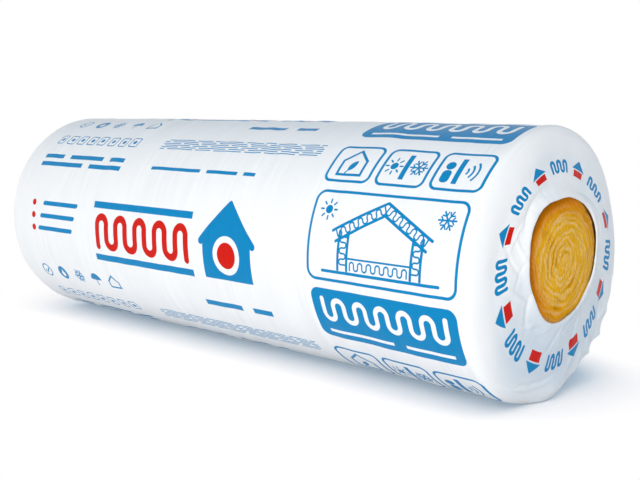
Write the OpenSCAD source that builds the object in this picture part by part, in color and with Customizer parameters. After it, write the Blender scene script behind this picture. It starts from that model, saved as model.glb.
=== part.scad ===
// Roll of glass wool blanket in a printed film wrap.
// The roll lies on its side: its axis is along X, and it touches the floor at z = 0 under the origin.

/* [Wool] */
// Width of the blanket, which is the length of the wool roll
wool_width = 1200; // [600:10:1500]
// Diameter of the rolled blanket
wool_d = 420; // [320:1:600]
// Thickness of one turn of the blanket, squeezed in the roll
turn_pitch = 13.5; // [9:0.5:40]
// Share of a turn's thickness that each of its two edges rounds over, on an end of the roll
turn_edge_share = 0.4; // [0.1:0.01:0.48]
// Depth of the joint that is left between the rounded edges of two turns
joint_depth = 5; // [1:0.5:12]

/* [Film] */
// Thickness of the wound film
film_t = 1; // [0.5:0.1:3]
// Clearance between the film and the wool
film_gap = 0.3; // [0.1:0.1:1]
// Diameter of the opening that the gathered film leaves in each end
opening_d = 190; // [80:1:210]
// How far the film's end stands out past the end of the wool
end_puff = 8; // [5:0.5:20]
// How far, across the end, the film curls down to the wool around the opening
lip_reach = 14; // [5:0.5:16]
// Width of the flat ring on an end, between that lip and the shoulder
crown_width = 32; // [10:1:60]
// How far the rounded shoulder reaches along the roll
shoulder_depth = 20; // [10:1:60]

/* [Hidden] */
$fn = 96;
// Steps that draw one quarter of a large round, and of the small one on a turn's edge
quarter_steps = 12;
edge_steps = 2;
// How far a cut runs past the face that it opens on
overrun = 1;

wool_r = wool_d / 2;
wool_end = wool_width / 2;
film_r = wool_r + film_gap + film_t;
film_end = wool_end + end_puff;
// Radii on an end of the film: the opening, and the two edges of the flat ring around it
opening_r = opening_d / 2;
crown_inner_r = opening_r + lip_reach;
crown_outer_r = crown_inner_r + crown_width;
// How far the rounded shoulder reaches in from the side of the roll
shoulder_reach = film_r - crown_outer_r;
// Where the shoulder leaves the straight side, measured from the middle of the roll
shoulder_start = wool_end - shoulder_depth;
// Half turns of the spiral that fit on the flat of an end
half_turns = floor(2 * (wool_r - shoulder_reach) / turn_pitch) - 1;
turn_edge = turn_pitch * turn_edge_share;

wool_colour = "#dba63f";
film_colour = "#f3f5f7";

// Points of a quarter of an ellipse about [cr, cx], from one angle to another
function quarter(cr, cx, reach, depth, from, to, steps = quarter_steps) =
    [for (i = [0 : steps])
        let (a = from + (to - from) * i / steps)
        [cr + reach * cos(a), cx + depth * sin(a)]];

// An outline of the right half, as [radius, place along the axis], followed by its mirror image
function with_left_half(right_half) =
    concat(
        right_half,
        [for (i = [len(right_half) - 1 : -1 : 0]) [right_half[i].x, -right_half[i].y]]
    );

// One face of the film, from the side of the roll over the shoulder and the crown to the lip of the opening.
// The inner face lies inside the outer one by inset.
function film_face(inset) =
    concat(
        quarter(crown_outer_r, shoulder_start,
                shoulder_reach - inset, film_end - shoulder_start - inset, 0, 90),
        quarter(crown_inner_r, wool_end + film_gap,
                lip_reach - inset, end_puff - film_gap - inset, 90, 180)
    );

// The whole film wall seen in section: the right end from outside to inside, then the left end back again
function film_section() =
    let (outside = film_face(0), inside = film_face(film_t))
    concat(
        outside,
        [for (i = [len(inside) - 1 : -1 : 0]) inside[i]],
        [for (p = inside) [p.x, -p.y]],
        [for (i = [len(outside) - 1 : -1 : 0]) [outside[i].x, -outside[i].y]]
    );

// The wool's outline from the axis, over its flat end and its shoulder, to the side of the roll
function wool_half() =
    concat(
        [[0, wool_end]],
        quarter(wool_r - shoulder_reach, shoulder_start, shoulder_reach, shoulder_depth, 90, 0)
    );

// Lays a shape that is turned about Z down along X, resting on the floor
module lay_down() {
    translate([0, 0, film_r]) rotate([0, 90, 0]) children();
}

// Section of the joint between two turns: their rounded edges meet at its bottom
module joint_section() {
    edge = quarter(turn_edge, -joint_depth, turn_edge, joint_depth, 90, 180, edge_steps);
    polygon(concat(
        [for (p = edge) [-p.x, p.y]],
        [for (i = [len(edge) - 2 : -1 : 0]) edge[i]],
        [[turn_edge, overrun], [-turn_edge, overrun]]
    ));
}

// Sections of the joint for every second half turn, from the first one given
module joint_sections(first) {
    for (i = [first : 2 : half_turns])
        translate([i * turn_pitch / 2, wool_end]) joint_section();
}

// One side of the spiral joint on an end. The spiral is drawn with half circles, struck in turn from two
// centres: those on one side of the end share a centre, and those on the other side share the other.
module joint_side(first) {
    rotate(first * 180)
        translate([turn_pitch / 4, 0, 0])
            rotate_extrude(angle = 180) joint_sections(first);
}

// The rolled blanket: one turned solid, with the spiral of its turns open on both ends
module wool_roll() {
    color(wool_colour)
        lay_down()
            difference() {
                rotate_extrude() polygon(with_left_half(wool_half()));
                joint_side(1);
                joint_side(2);
                mirror([0, 0, 1]) joint_side(1);
                mirror([0, 0, 1]) joint_side(2);
            }
}

// The film: a wound sleeve with both ends gathered in over the wool, open in the middle of each end
module film_wrap() {
    color(film_colour)
        lay_down()
            rotate_extrude() polygon(film_section());
}

wool_roll();
film_wrap();
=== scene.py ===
"""Looks of the insulation roll: a rolled glass wool blanket in a printed white film wrap.

The roll's axis runs along X at the height of its radius, and the roll lies on the floor at z = 0. Angles
round the roll start at the line that faces -Y and go up over the top, so the top is at +90 degrees and the
film's lap is low on the back. Sizes are in metres, and those on the printed sheet are in millimetres.
"""

import logging
import math
from dataclasses import dataclass, field
from enum import Enum
from typing import Sequence, Union

import bmesh
import bpy
import numpy as np
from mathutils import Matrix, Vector

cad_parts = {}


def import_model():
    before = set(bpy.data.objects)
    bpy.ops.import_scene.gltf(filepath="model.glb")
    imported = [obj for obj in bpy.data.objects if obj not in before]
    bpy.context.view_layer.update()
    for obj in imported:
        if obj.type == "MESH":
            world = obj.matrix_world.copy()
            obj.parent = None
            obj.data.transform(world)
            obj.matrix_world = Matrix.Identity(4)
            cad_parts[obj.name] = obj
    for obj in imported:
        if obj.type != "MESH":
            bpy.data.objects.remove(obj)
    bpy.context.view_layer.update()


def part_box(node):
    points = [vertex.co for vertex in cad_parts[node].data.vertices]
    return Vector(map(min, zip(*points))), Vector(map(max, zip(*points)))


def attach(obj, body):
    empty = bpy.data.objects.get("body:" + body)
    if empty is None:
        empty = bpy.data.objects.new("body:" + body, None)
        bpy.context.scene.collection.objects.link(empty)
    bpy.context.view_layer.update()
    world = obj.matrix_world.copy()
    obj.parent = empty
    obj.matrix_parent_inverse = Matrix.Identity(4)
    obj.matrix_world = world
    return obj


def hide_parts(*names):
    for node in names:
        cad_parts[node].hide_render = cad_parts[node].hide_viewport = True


log = logging.getLogger("insulation_roll")

MM = 0.001
TURN = 2 * math.pi
# Two points or two angles that lie closer together than this are the same
TINY = 1e-6
Socket = bpy.types.NodeSocket
Span = tuple[float, float]
Triple = tuple[float, float, float]
Colour = Triple
WHITE: Colour = (1.0, 1.0, 1.0)


def ink(red: int, green: int, blue: int) -> Colour:
    """Turn a colour as a picture shows it into linear light.

    Args:
        red: red channel, 0 to 255.
        green: green channel, 0 to 255.
        blue: blue channel, 0 to 255.

    Returns:
        The three channels as linear light from 0 to 1.
    """
    shares = [channel / 255 for channel in (red, green, blue)]
    return tuple(s / 12.92 if s <= 0.04045 else ((s + 0.055) / 1.055) ** 2.4 for s in shares)


def ease(values: np.ndarray, start: float, end: float) -> np.ndarray:
    """Rise smoothly from 0 at start to 1 at end: 3 t squared minus 2 t cubed, with t held in 0 to 1.

    Args:
        values: the places to look up.
        start: where the rise starts.
        end: where it ends, on either side of start.

    Returns:
        The share of the rise at each place.
    """
    t = np.clip((values - start) / (end - start), 0, 1)
    return t * t * (3 - 2 * t)


def turned(angles: np.ndarray, middle: float) -> np.ndarray:
    """Angles as seen from a middle angle, each within half a turn of it."""
    return (angles - middle + math.pi) % TURN - math.pi


@dataclass(frozen=True)
class RollSizes:
    """Sizes of the roll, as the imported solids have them."""

    film_radius: float
    film_end: float
    wool_end: float

    @classmethod
    def from_frame(cls) -> "RollSizes":
        """Read the sizes from the boxes of the film and of the wool."""
        film_low, film_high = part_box("film_wrap")
        _, wool_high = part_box("wool_roll")
        return cls(
            film_radius=(film_high.z - film_low.z) / 2,
            film_end=film_high.x,
            wool_end=wool_high.x,
        )


@dataclass(frozen=True)
class Ripples:
    """A smooth random relief: a sum of cosine waves with seeded directions and phases.

    Each wave has a number of waves per unit along the first parameter and along the second, drawn from the
    ranges given. Whole numbers along the first make the relief close on itself after one turn.
    """

    seed: int
    first: Span
    second: Span
    waves: int = 24
    whole: bool = False

    def at(self, a: np.ndarray, b: np.ndarray) -> np.ndarray:
        """Height of the relief: the sum of cos(k a + l b + phase), scaled to a mean square of 1.

        Args:
            a: first parameter at each point.
            b: second parameter at each point.

        Returns:
            The heights, in the shape of a and b together.
        """
        draw = np.random.default_rng(self.seed)
        k = draw.uniform(*self.first, self.waves) * draw.choice([-1, 1], self.waves)
        l = draw.uniform(*self.second, self.waves)
        phases = draw.uniform(0, TURN, self.waves)
        if self.whole:
            k = np.round(k)
        total = sum(np.cos(k[i] * a + l[i] * b + phases[i]) for i in range(self.waves))
        return total * math.sqrt(2 / self.waves)


class Closing(Enum):
    """How a grid of points closes in the direction of its rows."""

    RING = "the last row joins the first one"
    POLES = "each end row is one point"


@dataclass
class Lattice:
    """A grid surface that goes round the roll: rows along it, columns around it."""

    points: np.ndarray
    closing: Closing

    def faces(self) -> np.ndarray:
        """Corner numbers of the grid's quads, with the columns closed into a ring."""
        rows, columns = self.points.shape[:2]
        lines = rows if self.closing is Closing.RING else rows - 1
        row = np.arange(lines)[:, None]
        column = np.arange(columns)[None, :]
        after, beside = (row + 1) % rows, (column + 1) % columns
        here, after = row * columns, after * columns
        corners = [here + column, here + beside, after + beside, after + column]
        return np.stack(np.broadcast_arrays(*corners), axis=-1).reshape(-1, 4)

    def to_object(self, name: str, uv: Union[np.ndarray, None] = None) -> bpy.types.Object:
        """Make the mesh object, with smooth faces that point outwards.

        Args:
            name: name of the piece.
            uv: a place on the sheet for each row and column of a ring, with one more column than the
                points have, so that the sheet can end where the columns close.

        Returns:
            The object, at the origin.
        """
        faces = self.faces()
        flat = self.points.reshape(-1, 3)
        a, b, c, d = (flat[faces[:, i]] for i in range(4))
        volume = np.einsum("ij,ij->", a, np.cross(b, c)) + np.einsum("ij,ij->", a, np.cross(c, d))
        order = [0, 1, 2, 3] if volume > 0 else [3, 2, 1, 0]
        mesh = bpy.data.meshes.new(name)
        mesh.from_pydata(flat.tolist(), [], faces[:, order].tolist())
        if uv is not None:
            corners = self._sheet_corners(uv)[:, order]
            layer = mesh.uv_layers.new(name="sheet")
            layer.data.foreach_set("uv", corners.astype(np.float32).ravel())
        mesh.shade_smooth()
        if self.closing is Closing.POLES:
            self._merge_poles(mesh)
        piece = bpy.data.objects.new(name, mesh)
        bpy.context.scene.collection.objects.link(piece)
        return piece

    @staticmethod
    def _sheet_corners(uv: np.ndarray) -> np.ndarray:
        """Places on the sheet of the four corners of each quad, where the rows close into a ring."""
        after = np.roll(uv, -1, axis=0)
        quads = [uv[:, :-1], uv[:, 1:], after[:, 1:], after[:, :-1]]
        return np.stack(quads, axis=2).reshape(-1, 4, 2)

    @staticmethod
    def _merge_poles(mesh: bpy.types.Mesh) -> None:
        """Join the points of each end row into one, so that the surface closes there."""
        work = bmesh.new()
        work.from_mesh(mesh)
        bmesh.ops.remove_doubles(work, verts=work.verts, dist=TINY)
        work.to_mesh(mesh)
        work.free()


def add_values(piece: bpy.types.Object, name: str, values: np.ndarray) -> None:
    """Keep one value at each point of a piece, for its material to read."""
    layer = piece.data.attributes.new(name, "FLOAT", "POINT")
    layer.data.foreach_set("value", values.astype(np.float32).ravel())


Value = Union["Field", float]


class Field:
    """A value that changes over the surface, as one node puts it out."""

    def __init__(self, tree: bpy.types.NodeTree, socket: Socket) -> None:
        """Hold the tree that formulas are written into, and the socket that this value comes from."""
        self.tree = tree
        self.socket = socket

    def math(self, operation: str, *others: Value, clamp: bool = False) -> "Field":
        """Write one step of a formula as a Math node.

        Args:
            operation: name of the node's operation.
            others: the further operands, as fields or numbers.
            clamp: whether the result is held in 0 to 1.

        Returns:
            The result.
        """
        node = self.tree.nodes.new("ShaderNodeMath")
        node.operation = operation
        node.use_clamp = clamp
        for slot, value in zip(node.inputs, (self, *others)):
            if isinstance(value, Field):
                self.tree.links.new(value.socket, slot)
            else:
                slot.default_value = value
        return Field(self.tree, node.outputs[0])

    def __add__(self, other: Value) -> "Field":
        """Sum."""
        return self.math("ADD", other)

    def __sub__(self, other: Value) -> "Field":
        """Difference."""
        return self.math("SUBTRACT", other)

    def __rsub__(self, other: float) -> "Field":
        """A number less this value."""
        return self.math("MULTIPLY_ADD", -1.0, other)

    def __mul__(self, other: Value) -> "Field":
        """Product."""
        return self.math("MULTIPLY", other)

    def __neg__(self) -> "Field":
        """Opposite."""
        return self.math("MULTIPLY", -1.0)

    def __abs__(self) -> "Field":
        """Size without its sign."""
        return self.math("ABSOLUTE")

    def low(self, *others: Value) -> "Field":
        """Smallest of several: two shapes joined."""
        result = self
        for other in others:
            result = result.math("MINIMUM", other)
        return result

    def high(self, *others: Value) -> "Field":
        """Largest of several: the part that shapes share."""
        result = self
        for other in others:
            result = result.math("MAXIMUM", other)
        return result

    def wrap(self, low: float, high: float) -> "Field":
        """The same value brought into a range by whole steps of the range."""
        return self.math("WRAP", high, low)

    def ramp(self, start: float, end: float) -> "Field":
        """Rise evenly from 0 at start to 1 at end, and stay level beyond them."""
        slope = 1 / (end - start)
        return self.math("MULTIPLY_ADD", slope, -start * slope, clamp=True)

    def stroke(self, width: float) -> "Field":
        """A line of that width along the edge of a shape."""
        return abs(self) - width / 2

    def inked(self, edge: float) -> "Field":
        """Cover 1 inside the shape and 0 outside, with a soft edge of that width."""
        return self.ramp(edge / 2, -edge / 2)


def joined(*shapes: Field) -> Field:
    """Distance to several shapes at once: the smallest of the distances to each."""
    return shapes[0].low(*shapes[1:])


# Two beats that drift apart make the gaps in a row of bars, and each row starts at another place in them
GAP_BEATS = (0.61, 0.37)
GAP_LEVEL = 1.2
ROW_DRIFT = 11.3


@dataclass(frozen=True)
class Spot:
    """A place on the printed sheet, in millimetres from the middle of a motif."""

    x: Field
    y: Field

    def at(self, x: float, y: float) -> "Spot":
        """The place as seen from another middle."""
        return Spot(self.x - x, self.y - y)

    def folded(self) -> "Spot":
        """The right half, which the left half mirrors."""
        return Spot(abs(self.x), self.y)

    def doubled(self) -> "Spot":
        """The upper half, which the lower half mirrors."""
        return Spot(self.x, abs(self.y))

    def rotated(self, degrees: float) -> "Spot":
        """The place as a motif that is turned to the left by an angle sees it."""
        c, s = math.cos(math.radians(degrees)), math.sin(math.radians(degrees))
        return Spot(self.x * c + self.y * s, self.y * c - self.x * s)

    def starred(self, points: int) -> "Spot":
        """The place brought into the one sector, along +X, that a star repeats round its middle."""
        half = math.pi / points
        angle = self.y.math("ARCTAN2", self.x).wrap(-half, half)
        reach = self.reach()
        return Spot(reach * angle.math("COSINE"), reach * angle.math("SINE"))

    def reach(self) -> Field:
        """Distance from the middle."""
        square = self.x * self.x
        return self.y.math("MULTIPLY_ADD", self.y, square).math("SQRT")

    def disc(self, radius: float) -> Field:
        """Distance to a disc."""
        return self.reach() - radius

    def box(self, width: float, height: float, corner: float = 0.0) -> Field:
        """Distance to a box with rounded corners: how far the place is outside the box that is smaller by the
        corner's radius, less that radius."""
        beyond_x = abs(self.x) - (width / 2 - corner)
        beyond_y = abs(self.y) - (height / 2 - corner)
        if corner == 0:
            return beyond_x.high(beyond_y)
        outside = Spot(beyond_x.high(0.0), beyond_y.high(0.0)).reach()
        return outside + beyond_x.high(beyond_y).low(0.0) - corner

    def bar(self, length: float, thick: float) -> Field:
        """Distance to a bar along X with round ends."""
        return Spot((abs(self.x) - (length - thick) / 2).high(0.0), self.y).reach() - thick / 2

    def house(self, width: float, wall: float, roof: float) -> Field:
        """Distance to a house front that stands on the middle: walls, and a gable roof over them."""
        slope = math.atan2(roof, width / 2)
        gable = abs(self.x) * math.sin(slope) + (self.y - (wall + roof)) * math.cos(slope)
        return gable.high(abs(self.x) - width / 2, -self.y)

    def batt_wave(self, pitch: float, leg: float, thick: float) -> Field:
        """Distance to the wavy line that stands for soft insulation in a drawing: upright legs one pitch
        apart, each joined to the next by a half circle, at the top and at the bottom in turn."""
        across = abs(self.x.wrap(-pitch, pitch))
        above = Spot(across, (self.y - leg).high(0.0)).reach()
        below = Spot(pitch - across, (self.y + leg).low(0.0)).reach()
        is_above = self.y.math("GREATER_THAN", 0.0)
        return abs(below + (above - below) * is_above - pitch / 2) - thick / 2

    def batt_strip(self, pitch: float, leg: float, thick: float, pairs: int) -> Field:
        """Distance to a strip of the insulation sign that ends on a leg at both sides.

        Args:
            pitch: distance from leg to leg.
            leg: half length of a leg's straight part.
            thick: width of the line.
            pairs: number of legs on each side of the middle.

        Returns:
            The distance.
        """
        last = (pairs - 0.5) * pitch
        free = pitch / 4 if pairs % 2 == 0 else -pitch / 4
        leg_room = (self.y * free).math("LESS_THAN", 0.0) * (thick / 2)
        wave = self.batt_wave(pitch, leg, thick).high(abs(self.x) - last - leg_room)
        return joined(wave, Spot(self.y - free, abs(self.x) - last).bar(2 * leg + pitch / 2 + thick, thick))

    def words(self, width: float, rows: int, pitch: float, thick: float, gap: float) -> Field:
        """Distance to rows of bars with gaps here and there, like lines of print that say nothing.

        Args:
            width: length of the rows.
            rows: number of rows.
            pitch: distance from row to row.
            thick: height of the bars.
            gap: about how long a gap is.

        Returns:
            The distance.
        """
        level = self.y + (pitch / 2 if rows % 2 == 0 else 0.0)
        row = (level * (1 / pitch)).math("ROUND")
        line = abs(level.wrap(-pitch / 2, pitch / 2)) - thick / 2
        drift = (row * row).math("MULTIPLY_ADD", ROW_DRIFT * gap, self.x) * (1 / gap)
        first, second = ((drift * beat).math("SINE") for beat in GAP_BEATS)
        return line.high((first + second - GAP_LEVEL) * gap, self.box(width, rows * pitch))


class Tree:
    """Nodes of a material, of the world, or of a shader node group with named inputs and outputs."""

    def __init__(self, tree: bpy.types.NodeTree) -> None:
        """Write into this node tree."""
        self.tree = tree

    @classmethod
    def group(cls, name: str, inputs: Sequence[str], outputs: Sequence[str]) -> "Tree":
        """Start a node group whose sockets all carry plain values.

        Args:
            name: name of the group.
            inputs: names of its inputs.
            outputs: names of its outputs.

        Returns:
            The group, ready for its nodes.
        """
        tree = bpy.data.node_groups.new(name, "ShaderNodeTree")
        for socket in inputs:
            tree.interface.new_socket(name=socket, in_out="INPUT", socket_type="NodeSocketFloat")
        for socket in outputs:
            tree.interface.new_socket(name=socket, in_out="OUTPUT", socket_type="NodeSocketFloat")
        made = cls(tree)
        made.source = tree.nodes.new("NodeGroupInput")
        made.result = tree.nodes.new("NodeGroupOutput")
        return made

    @classmethod
    def material(cls, name: str) -> "Tree":
        """Start a material with an empty node tree, and keep it as .owner."""
        material = bpy.data.materials.new(name)
        material.use_nodes = True
        material.node_tree.nodes.clear()
        made = cls(material.node_tree)
        made.owner = material
        return made

    def add(self, kind: str, **settings: object) -> bpy.types.Node:
        """Add a node and set its properties."""
        node = self.tree.nodes.new(kind)
        for name, value in settings.items():
            setattr(node, name, value)
        return node

    def link(self, source: Union[Socket, Field], target: Socket) -> None:
        """Join an output to an input."""
        self.tree.links.new(source.socket if isinstance(source, Field) else source, target)

    def fill(self, slot: Socket, value: Union[Value, Colour, Socket]) -> None:
        """Write a number or a colour on an input, or join an output to it."""
        if isinstance(value, tuple):
            slot.default_value = (*value, 1.0)
        elif isinstance(value, (int, float)):
            slot.default_value = value
        else:
            self.link(value, slot)

    def given(self, name: str) -> Field:
        """One of the group's inputs as a value to calculate with."""
        return Field(self.tree, self.source.outputs[name])

    def put_out(self, name: str, value: Field) -> None:
        """Send a value to one of the group's outputs."""
        self.link(value, self.result.inputs[name])

    def use(self, group: "Tree", **inputs: Field) -> bpy.types.Node:
        """Place a node group and join its inputs, named in lower case here."""
        node = self.add("ShaderNodeGroup", node_tree=group.tree)
        for name, value in inputs.items():
            self.link(value, node.inputs[name.capitalize()])
        return node

    def field(self, socket: Socket) -> Field:
        """A node's output as a value to calculate with."""
        return Field(self.tree, socket)

    def parts(self, vector: Socket) -> list[Field]:
        """The three parts of a vector."""
        node = self.add("ShaderNodeSeparateXYZ")
        self.link(vector, node.inputs[0])
        return [self.field(part) for part in node.outputs]

    def kept(self, name: str) -> Field:
        """The value of that name that the piece keeps at its points."""
        return self.field(self.add("ShaderNodeAttribute", attribute_name=name).outputs["Fac"])

    def noise(self, place: Socket, scale: float, detail: float, rough: float) -> Field:
        """A noise texture at a place.

        Args:
            place: the vector that it reads.
            scale: features per unit of the vector.
            detail: number of finer layers.
            rough: strength of the finer layers.

        Returns:
            The noise, about 0.5 on the average.
        """
        node = self.add("ShaderNodeTexNoise")
        for name, value in (("Vector", place), ("Scale", scale), ("Detail", detail), ("Roughness", rough)):
            self.fill(node.inputs[name], value)
        return self.field(node.outputs["Fac"])

    def vector(self, x: Value, y: Value, z: Value = 0.0) -> Socket:
        """Three values as one vector."""
        node = self.add("ShaderNodeCombineXYZ")
        for slot, value in zip(node.inputs, (x, y, z)):
            self.fill(slot, value)
        return node.outputs[0]

    def mix(self, share: Field, first: Union[Colour, Socket], second: Union[Colour, Socket]) -> Socket:
        """Blend two colours.

        Args:
            share: how much of the second colour shows.
            first: a colour, or a socket that gives one.
            second: the other colour.

        Returns:
            The socket of the blended colour.
        """
        node = self.add("ShaderNodeMix", data_type="RGBA")
        self.link(share, node.inputs["Factor"])
        colours = [slot for slot in node.inputs if slot.type == "RGBA"]
        for slot, colour in zip(colours, (first, second)):
            self.fill(slot, colour)
        return next(slot for slot in node.outputs if slot.type == "RGBA")

    def bump(self, height: Field, distance: float, under: Union[Socket, None] = None) -> Socket:
        """Normals of a relief.

        Args:
            height: the relief, from 0 to 1.
            distance: the height that 1 stands for.
            under: normals of a relief that this one lies on.

        Returns:
            The socket of the normals.
        """
        node = self.add("ShaderNodeBump")
        node.inputs["Distance"].default_value = distance
        self.link(height, node.inputs["Height"])
        if under is not None:
            self.link(under, node.inputs["Normal"])
        return node.outputs["Normal"]

    def surface(self, colour: Socket, roughness: Value, normal: Socket,
                **constants: float) -> bpy.types.Material:
        """Finish the material with its shader.

        Args:
            colour: socket of the base colour.
            roughness: roughness, all over or from place to place.
            normal: socket of the normal.
            constants: further values of the shader, by the names of its inputs with _ for a space.

        Returns:
            The material.
        """
        shader = self.add("ShaderNodeBsdfPrincipled")
        values = {"Base_Color": colour, "Normal": normal, "Roughness": roughness, **constants}
        for name, value in values.items():
            self.fill(shader.inputs[name.replace("_", " ")], value)
        self.show(shader.outputs[0])
        return self.owner

    def show(self, shader: Socket, kind: str = "Material") -> None:
        """Make a shader the one that the material or the world shows."""
        self.link(shader, self.add(f"ShaderNodeOutput{kind}").inputs["Surface"])

    def shader(self, kind: str, colour: Union[Colour, Socket]) -> Socket:
        """A shader of that kind whose one setting is its colour."""
        node = self.add(f"ShaderNode{kind}")
        self.fill(node.inputs["Color"], colour)
        return node.outputs[0]

    def blend(self, share: Field, first: Socket, second: Socket) -> Socket:
        """Blend two shaders, by the share of the second one."""
        node = self.add("ShaderNodeMixShader")
        for slot, source in zip(node.inputs, (share, first, second)):
            self.link(source, slot)
        return node.outputs[0]

    def looked_at(self) -> Field:
        """1 where the camera looks, straight or by a reflection or through glass, and 0 for bounced light."""
        path = self.add("ShaderNodeLightPath")
        kinds = ("Camera", "Glossy", "Transmission")
        camera, *others = (self.field(path.outputs[f"Is {kind} Ray"]) for kind in kinds)
        return camera.high(*others)


@dataclass(frozen=True)
class PrintSheet:
    """The print on the film, laid out in millimetres: x along the roll from its middle, y up round it.

    The print repeats round the roll. Its design is plain: a house with a warm core, the drawing sign for
    soft insulation between two boards, frames with pictograms, small icons and rows of bars. A sign's sizes
    are its pitch, half a leg's straight part and the width of its line.
    """

    repeat_low: float = -152.0
    repeat_high: float = 217.0
    edge: float = 0.5
    line: float = 4.8
    column_x: float = 436.0
    column_width: float = 286.0
    corner: float = 16.0
    tile_pitch: float = 102.0
    wall: Span = (9.0, 50.0)
    house_x: float = 98.0
    sign_place: Span = (-144.0, -3.0)
    large_sign: Triple = (30.0, 14.0, 14.0)
    block_sign: Triple = (22.0, 7.0, 8.5)
    section_sign: Triple = (8.5, 2.0, 2.8)
    icon_x: float = -508.0
    icon_pitch: float = 60.0
    low_row_y: float = -112.0
    high_row_y: float = 192.0
    list_y: float = 14.0
    list_pitch: float = 26.0
    list_rows: int = 3
    small_tile_pitch: float = 36.0
    small_tiles: int = 8
    ring_marks: int = 16
    ring_radius: float = 149.0
    ring_sign: Triple = (8.6, 4.8, 5.4)
    out_of_sight: float = 1000.0

    def group(self, ring_along: float, film_radius: float) -> Tree:
        """Write the whole print as a node group.

        Args:
            ring_along: place of the ring of marks on an end, along the film from the middle, in metres.
            film_radius: radius of the roll, in metres.

        Returns:
            A group that turns a place on the film into the cover of the blue and of the red ink.
        """
        tree = Tree.group("film_print", ("Along", "Round"), ("Blue", "Red"))
        along, round_ = tree.given("Along"), tree.given("Round")
        sheet = Spot(along * (1 / MM), (round_ * (1 / MM)).wrap(self.repeat_low, self.repeat_high))
        ring_blue, ring_red = self._ring(along, round_, ring_along, film_radius)
        blue = joined(
            self._block(sheet), self._pictograms(sheet), self._section_frame(sheet), self._boards(sheet),
            self._house(sheet), self._icons(sheet), self._list_bars(sheet), self._small_marks(sheet),
            ring_blue,
        )
        red = joined(self._large_sign(sheet), self._core(sheet), self._list_dots(sheet), ring_red)
        tree.put_out("Blue", blue.inked(self.edge))
        tree.put_out("Red", red.inked(self.edge))
        return tree

    def _block(self, sheet: Spot) -> Field:
        """A solid block with the insulation sign and a row of bars left white in it."""
        spot = sheet.at(self.column_x, -88.0)
        block = spot.box(self.column_width, 92.0, self.corner)
        sign = spot.at(0.0, 10.0).batt_strip(*self.block_sign, pairs=6)
        dashes = spot.at(0.0, -32.0).words(width=248.0, rows=1, pitch=12.0, thick=6.0, gap=7.0)
        return block.high(-joined(sign, dashes))

    def _sun(self, spot: Spot) -> Field:
        """A disc with eight rays round it."""
        return joined(spot.disc(7.0), spot.starred(8).at(13.5, 0.0).bar(8.0, 3.0))

    def _flake(self, spot: Spot) -> Field:
        """A snow crystal: six arms, each with a pair of side twigs."""
        arm = spot.starred(6)
        twigs = arm.doubled().at(10.0, 2.8).rotated(52.0).bar(8.5, 2.6)
        return joined(arm.at(8.0, 0.0).bar(18.0, 3.0), twigs)

    def _sound(self, spot: Spot) -> Field:
        """Three arcs that spread to the right."""
        band = abs(spot.reach().wrap(-4.5, 4.5)) - 1.8
        return band.high(spot.disc(29.0), -spot.disc(5.0), abs(spot.y) - spot.x * 0.85)

    def _leaf(self, spot: Spot) -> Field:
        """A pointed leaf on a stem: what two discs share, and a short bar."""
        tilted = spot.rotated(58.0)
        blade = tilted.at(0.0, 9.0).disc(15.0).high(tilted.at(0.0, -9.0).disc(15.0))
        return joined(blade, tilted.at(-13.0, 0.0).bar(12.0, 2.6))

    def _pictograms(self, sheet: Spot) -> Field:
        """Three outlined tiles: a house with a leaf, a wall against heat and cold, a wall against sound."""
        warm = sheet.at(self.column_x, 168.0)
        home, quiet = warm.at(-self.tile_pitch, -24.0), warm.at(self.tile_pitch, 0.0)
        half = self.tile_pitch / 2
        tile = Spot((abs(warm.x) - half).math("PINGPONG", half) - half, warm.y)
        frames = tile.box(88.0, 72.0, 12.0).stroke(self.line).high(abs(warm.x) - 150.0)
        listener = joined(quiet.at(-25.0, 9.0).disc(8.0), quiet.at(-25.0, -12.0).box(16.0, 24.0, 7.0))
        return joined(
            frames, home.house(48.0, 28.0, 22.0).stroke(self.line), self._leaf(home.at(0.0, 18.0)),
            warm.box(*self.wall), self._sun(warm.at(-23.0, 0.0)), self._flake(warm.at(23.0, 0.0)),
            quiet.at(-6.0, 0.0).box(*self.wall), self._sound(quiet), listener,
        )

    def _section_frame(self, sheet: Spot) -> Field:
        """A frame with the section of a house, whose roof, walls and floor hold the insulation sign."""
        spot = sheet.at(self.column_x, 43.0)
        half = spot.folded()
        roof = half.at(0.0, 58.0).rotated(-28.0).at(54.0, -9.0)
        wall = half.at(71.0, -22.0)
        upright = Spot(wall.y, wall.x)
        return joined(
            self._linings(roof, 112.0), roof.batt_strip(*self.section_sign, pairs=6),
            self._linings(upright, 64.0), upright.batt_strip(*self.section_sign, pairs=3),
            spot.at(0.0, -44.0).batt_strip(*self.section_sign, pairs=7),
            spot.at(0.0, -33.0).bar(122.0, 3.0), spot.at(0.0, -56.0).bar(230.0, self.line),
            self._sun(spot.at(-112.0, 40.0)), self._flake(spot.at(112.0, 40.0)),
            spot.box(self.column_width, 140.0, self.corner).stroke(self.line),
        )

    def _linings(self, spot: Spot, length: float) -> Field:
        """Two lines of that length, one on each side of a strip of the insulation sign."""
        return spot.doubled().at(0.0, 9.0).bar(length, self.line)

    def _house(self, sheet: Spot) -> Field:
        """A solid house front with a wide roof and a round window."""
        spot = sheet.at(self.house_x, -58.0)
        front = spot.house(122.0, 66.0, 62.0)
        roof = spot.folded().at(0.0, 132.0).rotated(-45.5).at(46.0, 0.0).bar(108.0, 13.0)
        return joined(front, roof).high(-spot.at(0.0, 44.0).disc(34.0))

    def _core(self, sheet: Spot) -> Field:
        """The warm core in the house's window."""
        return sheet.at(self.house_x, -14.0).disc(23.0)

    def _large_sign(self, sheet: Spot) -> Field:
        """The large insulation sign."""
        return sheet.at(*self.sign_place).batt_strip(*self.large_sign, pairs=5)

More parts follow.
